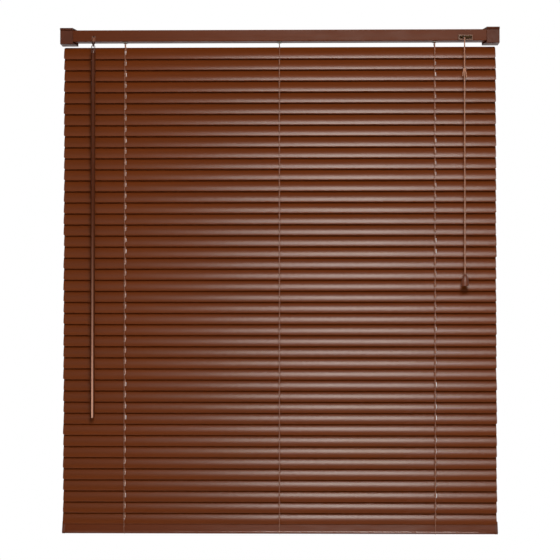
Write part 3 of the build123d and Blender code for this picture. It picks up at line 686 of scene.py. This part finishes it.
# Knot on the pull cord
KNOT_Z = -84.0
KNOT_CORD = 0.85
KNOT_REACH = 1.9
KNOT_SWELL = 0.55
KNOT_RISE = 1.5
KNOT_STEPS = 24
KNOT_TAILS = (
    ((-1.2, -1.2, -1), (-2.8, -1.8, -3.5), (-3.0, -1.5, -8), (-3.6, -1.4, -13)),
    ((1.0, -1.4, -1), (2.2, -1.9, -4), (2.9, -1.6, -9), (4.0, -1.2, -15)),
)


def make_knot(name, z):
    """An overhand knot round the pull cord with two short tails."""
    curve = new_curve(name, KNOT_CORD, 3)
    turns = []
    for step in range(KNOT_STEPS + 1):
        turn = step / KNOT_STEPS * 2 * pi
        reach = KNOT_REACH + KNOT_SWELL * cos(3 * turn)
        turns.append((PULL_X + reach * cos(2 * turn), PULL_Y + reach * sin(2 * turn),
                      z + KNOT_RISE * sin(3 * turn)))
    add_spline(curve, turns)
    for tail in KNOT_TAILS:
        add_spline(curve, [(PULL_X + x, PULL_Y + y, z + drop) for x, y, drop in tail])
    return link_object(name, curve, lift_yarn, "headrail")


knot = make_knot("pull_cord_knot", KNOT_Z)

# Collar on the tilter's stem, each ring's radius and place along the stem
COLLAR_SIDES = 32
COLLAR_EDGE = 0.1
COLLAR_RINGS = (
    (1.8, 18.4), (3.2, 18.4), (3.45, 18.9), (3.45, 21.0), (3.0, 21.7), (2.4, 22.8), (1.8, 22.9),
)


def make_stem_collar(name):
    """A collar on the tilter's stem, between the sleeve and the eye."""
    slant = radians(STEM_SLANT)
    along = Vector((0, -sin(slant), -cos(slant)))
    across = Vector((0, cos(slant), -sin(slant)))
    rings = []
    for radius, reach in COLLAR_RINGS:
        middle = STEM_START + along * reach
        rings.append([middle + across * radius * s + Vector((radius * c, 0, 0))
                      for c, s in circle(COLLAR_SIDES)])
    collar = link_object(name, loft(name, rings), stem_finish, "worm")
    soften(collar, COLLAR_EDGE)


# Bottom rail's end caps, edge bead, plugs and string ends
CAP_CORNER = 2.5
CAP_EDGE = 0.15
CAP_RINGS = ((-4.0, 0.15), (-3.6, 0.5), (0.6, 0.5), (1.1, 0.2), (1.3, -0.6))
BEAD_SIDES = 24
BEAD_STEPS = 24
BEAD_INSET = 5
BEAD_Y = -9.3
BEAD_Z = 3.3
BEAD_REACH = 1.5
BEAD_END_REACH = 0.5
BEAD_FLATNESS = 0.43
PLUG_SIDES = 28
PLUG_EDGE = 0.12
PLUG_RINGS = ((5.2, 0.3), (5.2, -0.4), (4.7, -0.9), (2.4, -1.1), (1.9, -0.8))
STRING_SEAT = 0.4


def make_end_cap(name, side):
    """A cap pushed over the rail's end."""
    end = side * RAIL_LENGTH / 2
    rings = []
    for offset, grow in CAP_RINGS:
        outline = rounded_outline(RAIL_WIDTH + grow, RAIL_THICKNESS + grow, CAP_CORNER)
        rings.append([(end + side * offset, y, z) for y, z in outline])
    cap = link_object(name, loft(name, rings), cap_finish, "bottom_rail")
    hang(cap, places["bottom_rail"], tilt)
    soften(cap, CAP_EDGE)


def make_edge_bead(name):
    """A rounded bead along the rail's lower front edge, run out at both ends."""
    rings = []
    for step in range(-BEAD_STEPS, BEAD_STEPS + 1):
        x = step / BEAD_STEPS * (RAIL_LENGTH / 2 - BEAD_INSET)
        reach = BEAD_REACH if abs(step) < BEAD_STEPS else BEAD_END_REACH
        rings.append([(x, BEAD_Y + reach * c, BEAD_Z + BEAD_FLATNESS * reach * s)
                      for c, s in circle(BEAD_SIDES)])
    bead = link_object(name, loft(name, rings), bead_finish, "bottom_rail")
    hang(bead, places["bottom_rail"], tilt)


def make_plug(name, x):
    """A button pressed into the rail's underside over the strings' ends."""
    under = -RAIL_THICKNESS / 2
    rings = []
    for radius, offset in PLUG_RINGS:
        rings.append([(x + radius * c, radius * s, under + offset) for c, s in circle(PLUG_SIDES)])
    plug = link_object(name, loft(name, rings), cap_finish, "bottom_rail")
    hang(plug, places["bottom_rail"], tilt)
    soften(plug, PLUG_EDGE)


def make_string_ends(name, station):
    """The strings' ends, drawn round the rail's edges to the plug."""
    curve = new_curve(name, STRING_RADIUS, 2)
    half, edge = RAIL_THICKNESS / 2 + STRING_SEAT, RAIL_WIDTH / 2 + STRING_SEAT
    for side in (-1, 1):
        add_spline(curve, [(station, side * 5.6, half), (station, side * 8.5, half + 0.1),
                           (station, side * (edge - 0.2), half), (station, side * edge, 0),
                           (station, side * (edge - 0.2), -half), (station, side * 7.5, -half),
                           (station, side * 4.6, -half + 0.2)])
    ends = link_object(name, curve, ladder_yarn, "bottom_rail")
    hang(ends, places["bottom_rail"], tilt)


make_stem_collar("stem_collar")
make_end_cap("bottom_rail_cap_left", -1)
make_end_cap("bottom_rail_cap_right", 1)
make_edge_bead("bottom_rail_bead")
for name, station in zip(STATION_NAMES, STATIONS):
    make_plug(f"bottom_rail_plug_{name}", station)
    make_string_ends(f"string_ends_{name}", station)

for name, (material, edge) in NODE_FINISHES.items():
    finish_node(name, material, edge)


# Floor, light and camera
def sees_backdrop(tree, path, coordinates):
    """1 for rays that meet the white backdrop: straight, through glass, or mirrored from behind."""
    place = tree.nodes.new("ShaderNodeTexCoord")
    split = tree.nodes.new("ShaderNodeSeparateXYZ")
    tree.links.new(place.outputs[coordinates], split.inputs[0])
    behind = change(tree, "GREATER_THAN", split.outputs["Y"], 0.0)
    mirrored = join(tree, "MULTIPLY", path.outputs["Is Glossy Ray"], behind)
    direct = join(tree, "MAXIMUM", path.outputs["Is Camera Ray"], path.outputs["Is Transmission Ray"])
    return join(tree, "MAXIMUM", direct, mirrored)


def glow(node, colour, strength):
    """Sets how a shader node gives light."""
    node.inputs["Color"].default_value = colour
    node.inputs["Strength"].default_value = strength
    return node.outputs[0]


def make_floor():
    """A pale floor that is white wherever it is seen."""
    around = ((-1, -1), (1, -1), (1, 1), (-1, 1))
    corners = [(FLOOR_HALF * x, FLOOR_HALF * y, FLOOR_LEVEL) for x, y in around]
    mesh = bpy.data.meshes.new("floor")
    mesh.from_pydata(corners, [], [(0, 1, 2, 3)])
    floor = bpy.data.objects.new("floor", mesh)
    bpy.context.scene.collection.objects.link(floor)
    material, tree, shader = new_material("pale_floor", FLOOR_ROUGHNESS)
    shader.inputs["Base Color"].default_value = FLOOR_COLOUR
    white = glow(tree.nodes.new("ShaderNodeEmission"), WHITE, 1)
    backdrop = sees_backdrop(tree, tree.nodes.new("ShaderNodeLightPath"), "Object")
    surface = blend(tree, backdrop, shader.outputs[0], white)
    tree.links.new(surface, tree.nodes["Material Output"].inputs["Surface"])
    mesh.materials.append(material)


def make_world():
    """Even light all round, dimmer in what the gloss mirrors from the front, and a white backdrop."""
    world = bpy.data.worlds.new("studio")
    bpy.context.scene.world = world
    world.use_nodes = True
    tree = world.node_tree
    plain = glow(tree.nodes["Background"], AMBIENT_COLOUR, AMBIENT)
    white = glow(tree.nodes.new("ShaderNodeBackground"), WHITE, 1)
    dim = glow(tree.nodes.new("ShaderNodeBackground"), AMBIENT_COLOUR, DIM_FRONT)
    path = tree.nodes.new("ShaderNodeLightPath")
    lit = blend(tree, path.outputs["Is Glossy Ray"], plain, dim)
    surface = blend(tree, sees_backdrop(tree, path, "Generated"), lit, white)
    tree.links.new(surface, tree.nodes["World Output"].inputs["Surface"])


def make_softbox(name, place, aim, width, height, power, colour=(1, 1, 1), mirrored=False):
    light = bpy.data.lights.new(name, "AREA")
    light.shape = "RECTANGLE"
    light.size = width
    light.size_y = height
    light.energy = power
    light.color = colour
    obj = bpy.data.objects.new(name, light)
    obj.visible_camera = False
    obj.visible_glossy = mirrored
    obj.location = place
    obj.rotation_euler = (Vector(aim) - Vector(place)).to_track_quat("-Z", "Y").to_euler()
    bpy.context.scene.collection.objects.link(obj)


def make_camera():
    yaw, pitch = radians(VIEW_YAW), radians(VIEW_PITCH)
    away = Vector((sin(yaw) * cos(pitch), -cos(yaw) * cos(pitch), -sin(pitch)))
    camera = bpy.data.cameras.new("camera")
    camera.sensor_width = SENSOR
    camera.lens = SENSOR * VIEW_DISTANCE / VIEW_WIDTH
    camera.clip_end = VIEW_FAR
    obj = bpy.data.objects.new("camera", camera)
    obj.location = VIEW_CENTRE + away * VIEW_DISTANCE
    obj.rotation_euler = (VIEW_CENTRE - obj.location).to_track_quat("-Z", "Y").to_euler()
    bpy.context.scene.collection.objects.link(obj)
    bpy.context.scene.camera = obj


make_floor()
make_world()
make_softbox("key", place=(0.25, -2.25, 0.68), aim=(0.1, 0, -0.45), width=0.8, height=0.7, power=47,
             colour=(1, 0.93, 0.87), mirrored=True)
make_softbox("bounce", place=(0.0, -1.5, -1.5), aim=(0.0, 0, -0.8), width=2.0, height=0.9, power=12)
make_softbox("rear_fill", place=(-0.3, 2.4, 0.3), aim=(0.0, 0, -0.5), width=2.0, height=1.4, power=30)
make_camera()
bpy.context.scene.view_settings.view_transform = "Standard"
